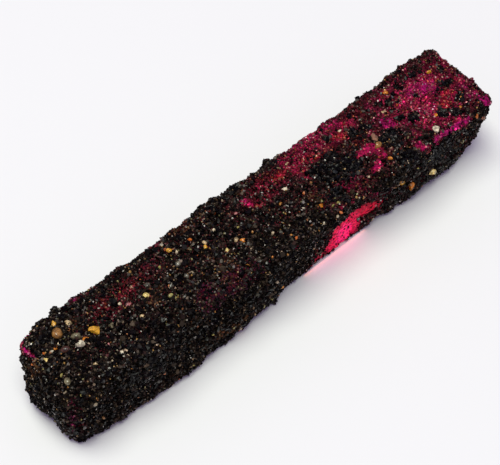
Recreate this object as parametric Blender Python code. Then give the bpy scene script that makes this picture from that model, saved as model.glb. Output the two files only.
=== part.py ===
"""A rough ruby bar: one natural stone, a long block of nearly square section.

Dark sand is cemented over the whole block as a gritty crust. The crust is thick on
the near half and the front, and worn thin along the back top edge and at the far end,
where the stone itself comes to the surface. The largest grains stand proud as lumps.

Metres, +Z up. +X runs along the bar to its far end and -Y is its front. The origin is
under the middle of the bar, on the surface that it rests on.
"""

import math
import random

import bmesh
import bpy
from mathutils import Vector, noise
from mathutils.bvhtree import BVHTree

MM = 0.001

# The eight corners of the block before wear and crust, in millimetres:
# along the bar, across it and up.
CORNERS = {
    ("near", "back", "top"): (-52.7, 9.4, 18.3),
    ("near", "front", "top"): (-52.5, -7.5, 18.3),
    ("near", "back", "base"): (-53.4, 7.6, 0.0),
    ("near", "front", "base"): (-52.6, -7.7, 0.0),
    ("far", "back", "top"): (55.2, 9.4, 17.7),
    ("far", "front", "top"): (55.5, -9.2, 17.7),
    ("far", "back", "base"): (54.2, 8.7, 0.0),
    ("far", "front", "base"): (53.6, -7.5, 0.0),
}
LENGTH = 107.2 * MM
WIDTH = 17.4 * MM
HEIGHT = 18.0 * MM

# Faces along, across and up the block, about 1.5 mm each
COUNT_ALONG = 70
COUNT_ACROSS = 12
COUNT_UP = 12
DRIFT = 0.9 * MM  # how far a corner of the facets wanders from an even grid
DRIFT_SPAN = 1.1 * MM

# Wear: the radius of each rounded edge, and how much the two ends bulge
TOP_EDGE = 1.0 * MM
BASE_EDGE = 2.3 * MM
NEAR_BEVEL = 4.2 * MM  # the front top edge, worn rounder towards the near end
NEAR_BEVEL_LENGTH = 17.0 * MM
NEAR_END_EDGE = 2.6 * MM
FAR_END_EDGE = 1.4 * MM
END_BULGE = 0.9 * MM

# The front swells out above its base, left of the middle
BELLY = 1.3 * MM
BELLY_MIDDLE = -24.0 * MM
BELLY_HALF_LENGTH = 25.0 * MM

# The shallow scoop that is chipped out of the front above its base, right of the middle
CHIP_MIDDLE = 13.5 * MM
CHIP_HALF_LENGTH = 14.5 * MM
CHIP_DEPTH = 0.95 * MM
CHIP_SLOPE = math.radians(5.5)

# Shoulders of crust along the back top edge: middle, half length and rise, in millimetres
SHOULDERS = (
    (-41.5, 9.0, 0.9),
    (-1.0, 8.0, 0.8),
)

# The crust: slow swells, patches that end in low ledges, and clods in the patches
SWELL = 0.55 * MM
SWELL_SPAN = 11.0 * MM
PATCH = 0.45 * MM
PATCH_SPAN = 7.5 * MM
CLOD = 1.0 * MM
CLOD_SPAN = 3.1 * MM
GRIT = 0.42 * MM
GRIT_SPAN = 1.3 * MM
BASE_HOLLOW = 1.6 * MM  # shallow hollows in the base, between the flats that it rests on
BASE_HOLLOW_SPAN = 6.5 * MM
BASE_FLAT_HALF_LENGTH = 9.0 * MM  # kept flat about the middle
PIT = 0.55 * MM
PIT_SPAN = 2.2 * MM

# Where the crust is worn off: middle of each bare place and its reach, in millimetres
BARE_PLACES = (
    ((45.0, 0.0, 18.0), 10.0),
    ((36.0, 4.0, 18.0), 6.0),
    ((24.0, -3.5, 18.0), 3.5),
    ((18.0, 8.0, 18.0), 6.0),
    ((6.0, 6.0, 18.0), 5.0),
    ((-2.0, 6.5, 18.0), 3.5),
    ((14.5, -8.0, 6.0), 7.5),
)

RAGGED = 1.8  # millimetres
RAGGED_SPAN = 3.5 * MM

# Coarse clusters where the crust stands thickest, beside the bare places
THICK_PLACES = (
    ((20.0, -1.0, 18.0), 5.5),
    ((31.5, -3.5, 18.0), 4.5),
    ((38.0, -8.5, 8.0), 8.0),
    ((-4.0, 8.5, 17.5), 6.5),
    ((-36.0, -6.0, 16.0), 7.0),
)
CLUSTER = 0.5 * MM

# Lumps of grit stuck on the crust: along the bar, across it, up, and width in millimetres
LUMPS = (
    (-43.0, 9.0, 17.4, 2.5),
    (9.6, 9.2, 17.4, 2.2),
    (-40.0, 1.5, 18.6, 1.9),
    (-45.6, 5.8, 18.6, 1.9),
    (-43.9, 1.6, 18.6, 2.2),
    (-46.4, 2.2, 18.5, 1.4),
    (-50.1, -2.8, 18.0, 1.5),
    (29.5, -0.5, 18.2, 1.7),
    (40.6, -7.0, 17.9, 1.3),
    (39.4, -8.7, 5.6, 1.7),
    (33.0, -8.5, 6.8, 1.5),
    (30.1, -8.4, 10.2, 1.2),
    (-25.0, -8.8, 9.0, 2.2),
    (-8.0, -9.0, 12.0, 1.8),
)
LUMP_PROUD = 0.06  # the share of its width that a lump's middle stands above the crust
LUMP_SPACING = 4.0 * MM
LUMP_LOWEST = 2.5 * MM
LUMP_EDGE = 7.4 * MM  # no stray lump sits on the back top edge or the front base edge past this
LUMP_EDGE_HEIGHT = 4.5 * MM
STRAY_LUMPS = 34
STRAY_WIDTHS = (1.3 * MM, 2.3 * MM)
SEED = 17


def clear_scene():
    for item in list(bpy.data.objects):
        bpy.data.objects.remove(item, do_unlink=True)


def new_collection(name):
    collection = bpy.data.collections.new(name)
    bpy.context.scene.collection.children.link(collection)
    return collection


def crusted_stone():
    """Near-black sandy crust with the dark crimson of the stone in it."""
    material = bpy.data.materials.new("crusted_stone")
    material.use_nodes = True
    shader = material.node_tree.nodes["Principled BSDF"]
    shader.inputs["Base Color"].default_value = (0.045, 0.014, 0.018, 1.0)
    shader.inputs["Roughness"].default_value = 0.85
    shader.inputs["Metallic"].default_value = 0.0
    return material


def step_between(low, high, value):
    """0 below low, 1 above high and smooth in between."""
    share = min(max((value - low) / (high - low), 0.0), 1.0)
    return share * share * (3.0 - 2.0 * share)


def new_block():
    """A unit cube cut into a grid by planes across its three axes."""
    block = bmesh.new()
    bmesh.ops.create_cube(block, size=1.0)
    counts = (COUNT_ALONG, COUNT_ACROSS, COUNT_UP)
    for axis, count in enumerate(counts):
        normal = Vector((0.0, 0.0, 0.0))
        normal[axis] = 1.0
        for cut in range(1, count):
            geometry = block.verts[:] + block.edges[:] + block.faces[:]
            place = normal * (cut / count - 0.5)
            bmesh.ops.bisect_plane(block, geom=geometry, plane_co=place, plane_no=normal, dist=1e-6)
    return block


def drift(unit):
    """Moves a point of the unit cube along the faces that it lies on, never off them."""
    sizes = (LENGTH, WIDTH, HEIGHT)
    spot = Vector([unit[axis] * sizes[axis] for axis in range(3)]) / DRIFT_SPAN
    moved = unit.copy()
    for axis in range(3):
        if abs(unit[axis]) < 0.499:
            wander = noise.noise(spot + Vector((5.0 * axis, 11.0, 3.0)))
            moved[axis] += wander * DRIFT / sizes[axis]
    return moved


def tapered(unit):
    """The place in the block of a point of the unit cube, in metres."""
    place = Vector((0.0, 0.0, 0.0))
    for (end, side, level), corner in CORNERS.items():
        along = 0.5 + unit.x if end == "far" else 0.5 - unit.x
        across = 0.5 + unit.y if side == "back" else 0.5 - unit.y
        up = 0.5 + unit.z if level == "top" else 0.5 - unit.z
        place += Vector(corner) * MM * along * across * up
    return place


def edge_radius(unit):
    """How far the nearest edges are rounded at a point of the unit cube."""
    radius = BASE_EDGE + (TOP_EDGE - BASE_EDGE) * step_between(-0.25, 0.25, unit.z)
    from_near_end = (unit.x + 0.5) * LENGTH
    near = 1.0 - step_between(0.0, NEAR_BEVEL_LENGTH, from_near_end)
    front_top = step_between(0.0, 0.35, -unit.y) * step_between(0.0, 0.3, unit.z)
    radius += (NEAR_BEVEL - radius) * near * front_top
    end_edge = NEAR_END_EDGE if unit.x < 0.0 else FAR_END_EDGE
    from_end = (0.5 - abs(unit.x)) * LENGTH
    return max(radius, end_edge * (1.0 - step_between(0.0, end_edge * 2.0, from_end)))


def rounded(unit, place):
    """Draws a point near an edge or corner of the block in to the rounded form."""
    radius = edge_radius(unit)
    sizes = (LENGTH, WIDTH, HEIGHT)
    box = Vector((0.0, 0.0, 0.0))
    for axis in range(3):
        depth = (0.5 - abs(unit[axis])) * sizes[axis]
        box[axis] = math.copysign(max(0.0, 1.0 - depth / radius), unit[axis])
    if box.length < 1e-6:
        return place
    return place + (box.normalized() - box) * radius


def bulged(unit, place):
    """Swells both end faces out at their middles, and the front out along its belly."""
    middle = (1.0 - (2.0 * unit.y) ** 2) * (1.0 - (2.0 * unit.z) ** 2)
    at_end = step_between(0.44, 0.5, abs(unit.x))
    end = math.copysign(END_BULGE * middle * at_end, unit.x)
    along = max(0.0, 1.0 - ((place.x - BELLY_MIDDLE) / BELLY_HALF_LENGTH) ** 2)
    low = 1.0 - step_between(-0.3, 0.4, unit.z)
    belly = BELLY * along * low * step_between(0.2, 0.5, -unit.y)
    return place + Vector((end, -belly, 0.0))


def chipped(place):
    """Cuts the front edge of the base back to a sloping plane along the chip."""
    along = (place.x - CHIP_MIDDLE) / CHIP_HALF_LENGTH
    depth = CHIP_DEPTH * max(0.0, 1.0 - along * along)
    outward = Vector((0.0, -math.cos(CHIP_SLOPE), -math.sin(CHIP_SLOPE)))
    edge = Vector((place.x, CORNERS["far", "front", "base"][1] * MM, 0.0))
    past = (place - edge).dot(outward) + depth
    return place - outward * past if past > 0.0 and depth > 0.0 else place


def shouldered(unit, place):
    """Builds the back top edge up along its shoulders."""
    near_edge = step_between(0.15, 0.5, unit.y) * step_between(0.15, 0.5, unit.z)
    rise = 0.0
    for middle, half_length, height in SHOULDERS:
        along = (place.x / MM - middle) / half_length
        rise += height * MM * max(0.0, 1.0 - along * along)
    return place + Vector((0.0, 0.7, 0.7)) * rise * near_edge


def nearness(place, spots):
    """1 within any of the spots, 0 away from them all, with a ragged rim between."""
    near = 0.0
    for centre, reach in spots:
        distance = (place / MM - Vector(centre)).length
        ragged = distance + RAGGED * noise.noise(place / RAGGED_SPAN)
        near = max(near, 1.0 - step_between(0.55 * reach, 1.1 * reach, ragged))
    return near


def crust_height(place):
    """How far the crusted surface stands out from the block, or below it if negative."""
    swell = noise.fractal(place / SWELL_SPAN, 1.0, 2.1, 3)
    patch = step_between(-0.08, 0.12, noise.noise(place / PATCH_SPAN + Vector((7.0, 3.0, 1.0))))
    distances, _ = noise.voronoi(place / CLOD_SPAN)
    clod = max(0.0, 1.0 - distances[0]) ** 2
    pit = max(0.0, noise.noise(place / PIT_SPAN + Vector((0.0, 9.0, 4.0))) - 0.15)
    grit = noise.noise(place / GRIT_SPAN + Vector((2.0, 6.0, 8.0)))
    cover = 1.0 - nearness(place, BARE_PLACES)
    crust = PATCH * patch + CLOD * clod + GRIT * grit + CLUSTER * nearness(place, THICK_PLACES)
    return SWELL * swell + cover * crust - PIT * (0.4 + cover) * pit


def base_hollow(place):
    """How far the base is hollowed at a point, 0 on its flats and about its middle."""
    hollow = max(0.0, noise.noise(place / BASE_HOLLOW_SPAN + Vector((4.0, 1.0, 0.0))) - 0.12)
    away = step_between(BASE_FLAT_HALF_LENGTH, BASE_FLAT_HALF_LENGTH * 1.5, abs(place.x))
    return BASE_HOLLOW * hollow * away


def shape_stone(block):
    """Carries the unit grid to the worn block, then raises the crust on it."""
    units = {vertex: vertex.co.copy() for vertex in block.verts}
    for vertex, unit in units.items():
        moved = drift(unit)
        place = rounded(moved, tapered(moved))
        vertex.co = chipped(shouldered(moved, bulged(moved, place)))
    block.normal_update()
    heights = {vertex: crust_height(vertex.co) for vertex in block.verts}
    for vertex, unit in units.items():
        on_base = unit.z < -0.499 and vertex.co.z < 0.05 * MM
        if on_base:
            vertex.co.z = base_hollow(vertex.co)
        else:
            vertex.co += vertex.normal * heights[vertex]
        vertex.co.z = max(vertex.co.z, 0.0)
    bmesh.ops.triangulate(block, faces=block.faces[:], quad_method="SHORT_EDGE")
    bmesh.ops.recalc_face_normals(block, faces=block.faces[:])


def add_lump(lumps, centre, width, chance):
    """One angular grain: a low icosphere, stretched, turned and roughened."""
    made = bmesh.ops.create_icosphere(lumps, subdivisions=1, radius=width / 2.0)
    stretch = Vector((chance.uniform(0.8, 1.25), chance.uniform(0.8, 1.25), chance.uniform(0.65, 0.95)))
    turn = Vector([chance.uniform(-1.0, 1.0) for _ in range(3)]).to_track_quat("Z", "Y")
    for vertex in sorted(made["verts"], key=lambda corner: tuple(corner.co)):
        corner = Vector([vertex.co[axis] * stretch[axis] for axis in range(3)])
        corner *= chance.uniform(0.85, 1.1)
        vertex.co = turn @ corner + centre


def on_sharp_edge(centre):
    """True on the two long edges that the crust follows closely."""
    back_top = centre.y > LUMP_EDGE and centre.z > HEIGHT - LUMP_EDGE_HEIGHT
    front_base = centre.y < -LUMP_EDGE and centre.z < LUMP_EDGE_HEIGHT
    return back_top or front_base


def stray_places(stone, chance):
    """Seeded places on the crust, clear of the base and of each other."""
    centres = sorted(tuple(face.calc_center_median()) for face in stone.faces)
    surface = [Vector(centre) for centre in centres if centre[2] > LUMP_LOWEST]
    surface = [centre for centre in surface if not on_sharp_edge(centre)]
    named = [Vector(lump[:3]) * MM for lump in LUMPS]
    places = []
    while len(places) < STRAY_LUMPS:
        centre = chance.choice(surface)
        apart = min((centre - other).length for other in places + named)
        if apart > LUMP_SPACING and nearness(centre, BARE_PLACES) < 0.3:
            places.append(centre)
    return places


def new_lumps(stone):
    """All lumps as one mesh of separate grains, each sunk in the crust by about a third."""
    chance = random.Random(SEED)
    wanted = [(Vector(lump[:3]) * MM, lump[3] * MM) for lump in LUMPS]
    wanted += [(place, chance.uniform(*STRAY_WIDTHS)) for place in stray_places(stone, chance)]
    surface = BVHTree.FromBMesh(stone)
    lumps = bmesh.new()
    for place, width in wanted:
        nearest, normal, _, _ = surface.find_nearest(place)
        add_lump(lumps, nearest + normal * width * LUMP_PROUD, width, chance)
    bmesh.ops.recalc_face_normals(lumps, faces=lumps.faces[:])
    return lumps


def new_object(name, shape, collection, material=None):
    mesh = bpy.data.meshes.new(name)
    shape.to_mesh(mesh)
    item = bpy.data.objects.new(name, mesh)
    collection.objects.link(item)
    if material:
        mesh.materials.append(material)
    return item


def fuse(item, other):
    """Joins the lumps into the stone, so that it stays one solid."""
    other.hide_render = True
    other.display_type = "WIRE"
    union = item.modifiers.new("fused_lumps", "BOOLEAN")
    union.operation = "UNION"
    union.solver = "EXACT"
    union.object = other


def centre_over_origin(shapes):
    """Puts the middle of the shapes' box over the origin."""
    for axis in range(2):
        low = min(vertex.co[axis] for shape in shapes for vertex in shape.verts)
        high = max(vertex.co[axis] for shape in shapes for vertex in shape.verts)
        for shape in shapes:
            for vertex in shape.verts:
                vertex.co[axis] -= (low + high) / 2.0


clear_scene()
parts = new_collection("ruby_gemstone")
cutters = new_collection("cutters")
stone_shape = new_block()
shape_stone(stone_shape)
lump_shape = new_lumps(stone_shape)
centre_over_origin([stone_shape, lump_shape])
ruby_bar = new_object("ruby_bar", stone_shape, parts, crusted_stone())
grit_lumps = new_object("grit_lumps", lump_shape, cutters)
fuse(ruby_bar, grit_lumps)
stone_shape.free()
lump_shape.free()
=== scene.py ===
"""A rough ruby bar in its crust of dark sand, on a plain pale floor under soft light.

The stone comes first, then the grains that are cemented on it from the largest to the
finest, then the floor, the light and the camera.
"""

import math
import random
from types import SimpleNamespace

import bmesh
import bpy
import numpy as np
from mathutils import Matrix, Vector, noise
from mathutils.bvhtree import BVHTree


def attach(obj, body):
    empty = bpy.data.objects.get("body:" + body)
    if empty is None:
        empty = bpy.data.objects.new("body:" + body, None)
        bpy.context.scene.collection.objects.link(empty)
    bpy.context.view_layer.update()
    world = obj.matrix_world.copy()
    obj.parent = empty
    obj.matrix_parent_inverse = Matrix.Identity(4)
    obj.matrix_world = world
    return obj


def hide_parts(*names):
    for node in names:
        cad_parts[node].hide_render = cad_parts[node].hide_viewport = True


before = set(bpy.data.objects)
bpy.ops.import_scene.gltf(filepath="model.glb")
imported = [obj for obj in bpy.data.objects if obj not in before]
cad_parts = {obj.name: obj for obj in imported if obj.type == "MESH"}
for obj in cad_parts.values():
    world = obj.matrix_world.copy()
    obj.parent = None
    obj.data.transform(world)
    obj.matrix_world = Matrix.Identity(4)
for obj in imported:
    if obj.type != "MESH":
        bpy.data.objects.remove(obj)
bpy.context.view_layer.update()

# --------------------------------------
# The stone: one rough ruby, grown and broken as a long block of nearly square section.
# Its skin is dull and pitted, and sand has bonded to it. The ruby shows crimson through
# thin sand, magenta where it is bare; at one chipped edge the light that it lets through is painted as a
# glow by emission.

MM = 0.001
SKIN_DEPTH = 0.16 * MM  # the ruby's skin lies this far under the tips of the sand
SKIN_LOWEST = 0.1 * MM
SKIN_CUTS = 2
SKIN_SMOOTHINGS = 3
SKIN_SMOOTHING = 0.5
SMOOTHED_LOWEST = 0.9 * MM  # the edge of the base stays as it is
SKIN_ROUGHNESS = 0.16 * MM
SKIN_ROUGHNESS_SPAN = 0.8 * MM
PITS = 0.5 * MM  # how deep the hollows between the clods of sand go
PITS_SPAN = 1.5 * MM
PITS_START = 0.05  # a pit opens where the noise is above this
PITS_SHIFT = Vector((4.0, 2.0, 7.0))
# Shallow dents and low swells of the crust: the middle of each, its reach and how far it
# moves the skin along, across and up, in millimetres
SWELLS = {
    "dent beside the window": ((22.5, -9, 1), 3.4, (0, 0.45, 0)),
    "foot of the window": ((12, -7.5, 0.2), 9, (0, -0.55, 0)),
    "far dent": ((37, -9.5, 1), 4, (0, 0.35, 0)),
    "middle dent": ((-7, -9.5, 1), 3.5, (0, 0.4, 0)),
    "near dent": ((-50.5, -9.5, 1), 3, (0, 0.4, 0)),
    "far back edge": ((19.5, 9, 17), 6, (0, 0.75, 0)),
    "clod on the back edge": ((4.5, 9, 17), 4, (0, 0.65, 0)),
    "middle back edge": ((-15, 9, 17), 5, (0, 0.6, 0)),
    "near back edge": ((-38, 9, 17), 5, (0, 0.35, 0)),
    "far end": ((54.5, -2, 17), 9, (0.4, 0, 0)),
    "far foot": ((53.5, -10, 1.5), 5.5, (-0.8, 0.4, 0)),
    "lump near the far foot": ((50.6, -10.2, 4.3), 2.8, (-0.3, 0.9, 0.2)),
}
SAME_POINT = 1e-6

# Where the sand is thin or worn off: the middle line of each place, its reach, how bare
# it is, and how magenta against crimson. All lengths in millimetres.
WORN_PLACES = {
    "far top haze": (((40, 0.5, 18), (47.5, -0.8, 18)), 7.5, 0.44, 0.35),
    "far crimson": (((41, 0.8, 18), (44.5, 2.8, 18), (47, 3, 18)), 2.8, 0.85, 0.5),
    "far core": (((43.4, 2.4, 18), (46.8, 1.2, 18)), 2.3, 1, 0.9),
    "far low": (((40.3, -1.6, 18), (42.8, -3.2, 17.8)), 1.7, 0.9, 0.6),
    "far second": (((45.8, -4.2, 17.7), (47.8, -2.4, 17.7)), 1.7, 0.78, 0.1),
    "far middle": (((38, -2.5, 18.1), (40.5, -6, 17.7), (45, -8.2, 17.7)), 2.5, 0.54, 0.4),
    "far end rim": (((52.6, -1.9, 17.7),), 1, 0.75, 0.4),
    "far end band": (((52.6, 5.5, 17.6), (52.8, 0.5, 17.6), (52.4, -5.5, 17.6)), 1.6, 0.24, 0.4),
    "far end haze": (((51.6, -3.2, 17.7), (51.5, -6.6, 18)), 1.3, 0.45, 0.8),
    "far corner": (((52.5, -7.8, 17.9), (52.6, -9.3, 17.6)), 0.9, 0.6, 1),
    "far corner tip": (((53.1, -9.8, 17.2), (53.1, -9.2, 17.7)), 0.7, 1, 1),
    "far rim": (((38, -9.4, 17.8), (42, -9.3, 17.3), (46.9, -9.9, 16.9)), 0.75, 1, 0.9),
    "back band edge": (
        ((15.6, 7.9, 17.7), (19.8, 7.9, 17.6), (23.2, 7.4, 17.8), (25.2, 6.4, 18)), 1.3, 0.7, 0.55
    ),
    "back band": (((11, 5.5, 18), (17, 6.3, 17.8), (26.5, 5, 17.8)), 2.6, 0.42, 0.35),
    "red bits": (((22.6, 4.6, 17.9), (25.3, 3.2, 17.9)), 1.1, 0.85, 0),
    "red bit by the rim": (((26.5, 5.4, 17.8),), 1, 0.7, 0.1),
    "crimson bits": (((16.6, 6.9, 17.8), (18.9, 5.3, 17.8)), 1.2, 0.65, 0.4),
    "middle red": (((14.3, 4.3, 18), (17.8, 3.1, 18)), 1.1, 0.72, 0.05),
    "middle haze": (((12, 3.6, 18.4), (13.2, 1, 18.4)), 2, 0.45, 0.3),
    "small red": (((14.9, 0.9, 18.4),), 0.8, 0.75, 0),
    "spot": (((28.9, 0.6, 18),), 0.9, 0.8, 0.5),
    "long band": (((9.3, 4.6, 18.4), (4, 4.7, 18.1), (0.5, 3.6, 18)), 2.6, 0.22, 0.15),
    "long band red": (((9, 4.5, 18.6), (6.8, 4.8, 18.3)), 1, 0.6, 0),
    "long band pink": (((4.4, 4.6, 18.1), (3.4, 5.1, 18.1)), 0.8, 0.7, 0.3),
    "band end": (((-1.4, 4.6, 17.9), (-0.3, 3.6, 18)), 0.8, 0.75, 0.6),
    "band end red": (((0.8, 2.2, 17.8),), 1, 0.72, 0.05),
    "pale streak": (((12.4, -9.1, 18), (15, -9.1, 17.7)), 0.6, 0.6, 0.3),
    "above the window": (((15.8, -5.5, 18), (18, -6.8, 18.2), (20.9, -8.9, 13)), 1.9, 0.3, 0.4),
    "dim band": (((-37.4, 4.4, 18.1), (-33.2, 4, 18.1), (-29.8, 4.2, 18.4)), 1.7, 0.2, 0),
    "dim band end": (((-26.8, 4.4, 18.6), (-23.5, 5.2, 18.4)), 1.3, 0.12, 0.3),
    "dim bits": (((-36.9, 1.3, 18), (-34.7, 2, 18.2)), 0.9, 0.25, 0.2),
    "purple haze": (((-20.5, -7.6, 17.7), (-11, -8.8, 17.8)), 3.6, 0.03, 0.8),
    "red dot": (((0, -9.8, 17.1),), 0.55, 0.9, 0.6),
    "near back rim": (((-42.2, 9.3, 18.2), (-39.6, 8.7, 18.4)), 0.8, 0.35, 0.9),
    "near back speck": (((-46.1, 9.1, 18.9),), 0.6, 0.8, 0.4),
    "back rim": (((-22.4, 8.8, 18.2), (-20.4, 8.4, 18.3)), 0.9, 0.4, 0.4),
    "near rim": (((-49.8, 9.3, 17.8), (-52.4, 8.4, 17.4)), 0.7, 0.6, 0.9),
    "near streak": (((-53.4, 7.6, 17.1), (-53, 6.3, 17.9), (-52.4, 3.9, 18.2)), 0.42, 1, 1),
    "near edge": (((-53.2, -6.8, 15), (-53.2, -7.3, 11), (-53.5, -7.5, 7), (-53.7, -7, 4)), 0.5, 0.16, 1),
    "near corner haze": (((-52, -6.9, 15.8),), 1.6, 0.1, 0.6),
    "back face": (((-12, 9.5, 10), (2, 9.5, 8), (14, 9.5, 12)), 3.6, 0.45, 0.4),
    "back face core": (((3, 9.5, 9), (9, 9.5, 10)), 1.6, 0.85, 0.6),
    "low back face": (((31, 9.5, 6), (38, 9.5, 9)), 2.6, 0.7, 0.5),
    "near back face": (((-36, 9, 6), (-30, 9, 9)), 2.2, 0.4, 0.2),
    "far face": (((54.5, 4, 12), (54.5, -3, 9)), 3, 0.6, 0.5),
}

# Clean patches of bare ruby on the top: corners along and across the bar, and the hue
TOP_PATCHES = {
    "upper patch": (((33, 2.2), (34.2, 1), (34.5, -1.4), (33.6, -2.7), (32.6, -2.1), (31.6, -0.6)), 0.8),
    "crimson patch": (
        ((22, -1.7), (24.1, -1.2), (26.5, -1.2), (28, -2.4), (27.3, -3.5), (28.1, -4.4), (27.8, -5.6),
         (26.6, -6.4), (26, -4.2), (25.2, -3.1), (23.7, -2.8)),
        0.38,
    ),
    "crimson tail": (
        ((25.9, -5), (26.2, -6), (25.4, -7), (24.3, -7.5), (23.1, -7.2), (23.1, -5.8)), 0.45
    ),
    "rim patch": (((33, -7.4), (34.6, -7.8), (36, -10), (34.2, -10), (33, -8.5)), 0.5),
    "rim streak": (
        ((37.4, -8.9), (41, -8.8), (44, -9), (47.3, -9.3), (47.4, -10.4), (43, -10.2), (40, -10.4),
         (37.6, -10.3)),
        0.95,
    ),
    "far corner": (((51.8, -7.9), (53.7, -8.4), (54, -10.4), (52.8, -10.6), (51.7, -9.2)), 1),
    "far core": (((43.6, 2.4), (44.8, 3.4), (46.8, 1.6), (46, 0.6), (44.2, 1)), 0.95),
}

# The window, where the crust is open at the front and the light through the stone is painted
# as a glow: corners along and up the bar, the strength of the painted glow, and the hue
WINDOW_WITH_PAINTED_GLOW = {
    "middle": (
        ((9.8, 3.4), (10.8, 5.2), (11.2, 7.6), (12.2, 9.8), (14.6, 10.4), (15.8, 11.8), (17.6, 10.2),
         (19.4, 6.6), (19.2, 2.3), (17.6, 0.3), (11.4, 0)),
        0.8, 0.25,
    ),
    "core": (((13, 6.8), (15, 8.2), (17.6, 5.4), (17.8, 2.4), (16.2, 0.6), (13.6, 1), (12.8, 4)), 1.15, 0.8),
    "right": (((16.6, 10.6), (18.4, 11.9), (20.6, 11.4), (22.8, 8.8), (22, 6.6), (19, 6.8)), 0.46, 0.05),
    "far tip": (((22.1, 9.9), (24.3, 8), (24.8, 5.6), (23, 6.7)), 0.3, 0),
    "near tail": (((4.4, 0.8), (6.2, 2.2), (8.8, 3.2), (11.6, 4.2), (11.6, 0.1), (7.3, 0.1)), 0.24, 0.1),
    "rim of painted light": (
        ((4, 2.2), (7, 6.4), (11, 11), (16, 12.8), (24, 11.4), (24.4, 5.2), (20.6, 0.2),
         (5, 0.2)),
        0.05, 0.1,
    ),
}

# Where the ruby's own dust has stained the sand maroon: the middle line of each place, its
# reach and the share of grains that took the stain
STAINED_PLACES = (
    (((33, 0, 18), (49, -1, 18)), 9.5, 0.78),
    (((50, 7, 18), (54, 2, 18)), 5, 0.55),
    (((37, 8.8, 18), (53, 8.8, 18)), 2.8, 0.5),
    (((33, -9.4, 7), (50, -9.4, 8)), 7.5, 0.4),
    (((14, 5.8, 18), (33, 5, 18)), 5.5, 0.8),
    (((13, -5.5, 18.2), (28, -5.5, 18.2)), 4.6, 0.5),
    (((13, 1, 18.2), (24, 1, 18.2)), 4, 0.4),
    (((-3, 4.8, 18), (12, 4.4, 18.2)), 4.4, 0.46),
    (((-1, -1, 18.2), (9, -2, 18.2)), 5, 0.18),
    (((-38, 3.4, 18), (-24, 4.4, 18.5)), 3, 0.42),
    (((-40, 0, 18.2), (-6, 3, 18.2)), 7.5, 0.12),
    (((-20.5, -7.4, 17.8), (-10, -8.6, 17.8)), 3.4, 0.42),
    (((-40, 9.4, 17.8), (-12, 9.4, 17.8)), 1.6, 0.45),
    (((12, -8.8, 9), (24, -8.8, 11)), 3.4, 0.6),
    (((19.5, -9, 2.5), (29, -9.4, 4.5)), 3.4, 0.34),
    (((-53, -7.2, 14), (-53.4, -7.2, 5)), 2.2, 0.25),
    (((0, 9.5, 9), (30, 9.5, 9)), 9, 0.45),
    (((54.5, 3, 12), (54.5, -3, 9)), 8, 0.55),
)

# Clods of black sand that lie over the worn places: the middle of each and its reach
BLACK_CLODS = (
    ((17.6, -1.4, 18.5), 4.6),
    ((21.4, -2.6, 18), 2.6),
    ((14.2, -6.4, 17.8), 2.2),
    ((21.7, 5.3, 18), 1.2),
    ((26.3, 3, 17.8), 1.4),
    ((29.1, 2.2, 17.8), 1.2),
    ((38.4, -2.4, 18), 1.3),
    ((31, -3.4, 18.7), 2.6),
    ((30.5, -9.2, 18.2), 2.6),
    ((49.2, -5.2, 17.8), 1.2),
    ((43.8, -5.6, 17.7), 1.1),
    ((46, 5.6, 17.9), 0.9),
    ((50.6, -0.8, 17.8), 0.9),
    ((41.2, 5.2, 17.9), 0.9),
    ((35.4, 4.6, 17.9), 1),
    ((45.9, -6.9, 17.6), 1.1),
    ((51.4, 2.6, 17.9), 1.1),
    ((48.6, -0.4, 17.8), 0.8),
    ((37, 3.2, 18), 1),
    ((36.3, -1, 18), 0.8),
    ((42.6, 1.2, 18), 0.6),
    ((8.4, 8.4, 18.2), 1.6),
    ((40.2, -9.6, 13.5), 4.5),
)
# Unevenness: how strong it is, the span of its noise and where the noise starts
RAGGED = (0.55, 2.1 * MM, 3.7)  # how far the rim of a place wanders, as a share of its reach
FRAYED = (0.35, 0.7 * MM, 9.1)  # and how finely that rim is frayed
MOTTLED = (0.9, 1.3 * MM, 5.3)  # how unevenly a worn place is bare
MOTTLED_LIMITS = (0.2, 1.25)
BLOTCHED = (1.0, 1.9 * MM, 2.9)  # and how unevenly the sand has taken the stain
BLOTCHED_MEAN = 0.95
BLOTCHED_LIMITS = (0.3, 1.15)
WORN_FADE = (0.5, 1.15)  # a worn place fades out between these shares of its reach
CLOD_FADE = (0.6, 1.1)
STAIN_FADE = (0.55, 1.1)
CLOD_COVER = 0.92  # how far a clod hides the bare stone
CLOD_UNSTAINED = 0.85  # and how free it is of the stain
STAIN_RAGGED = 0.4  # how ragged other rims are, beside that of a worn place
PATCH_RAGGED = 0.5
WINDOW_FRAYED = 1.6
PATCH_RIM = 0.35  # how soft the rim of a patch is, in millimetres
WINDOW_RIM = 0.6
# the window's light is a painted glow, made by emission
WINDOW_OPENING = 3.0  # the window is open where its light has a third of full strength
TOP_FACE = 16.0  # a patch on the top lies above this level, in millimetres
FRONT_FACE = -6.0  # and the window lies in front of this


def step_between(low, high, values):
    """0 below low, 1 above high and smooth in between."""
    share = np.clip((values - low) / (high - low), 0.0, 1.0)
    return share * share * (3.0 - 2.0 * share)


def rising(least, limits, values):
    """least below the limits, 1 above them and smooth in between."""
    return least + (1.0 - least) * step_between(*limits, values)


def kept_off(layer, share):
    """What is left where a layer keeps this share of something off."""
    return 1.0 - share * layer


def distance_to(path, points):
    """The distance of each point from a path of one or more corners."""
    corners = [np.array(corner) for corner in path]
    if len(corners) == 1:
        return np.linalg.norm(points - corners[0], axis=1)
    nearest = np.full(len(points), np.inf)
    for start, end in zip(corners, corners[1:]):
        along = end - start
        share = ((points - start) @ along) / (along @ along)
        foot = start + np.clip(share, 0.0, 1.0)[:, None] * along
        nearest = np.minimum(nearest, np.linalg.norm(points - foot, axis=1))
    return nearest


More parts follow.
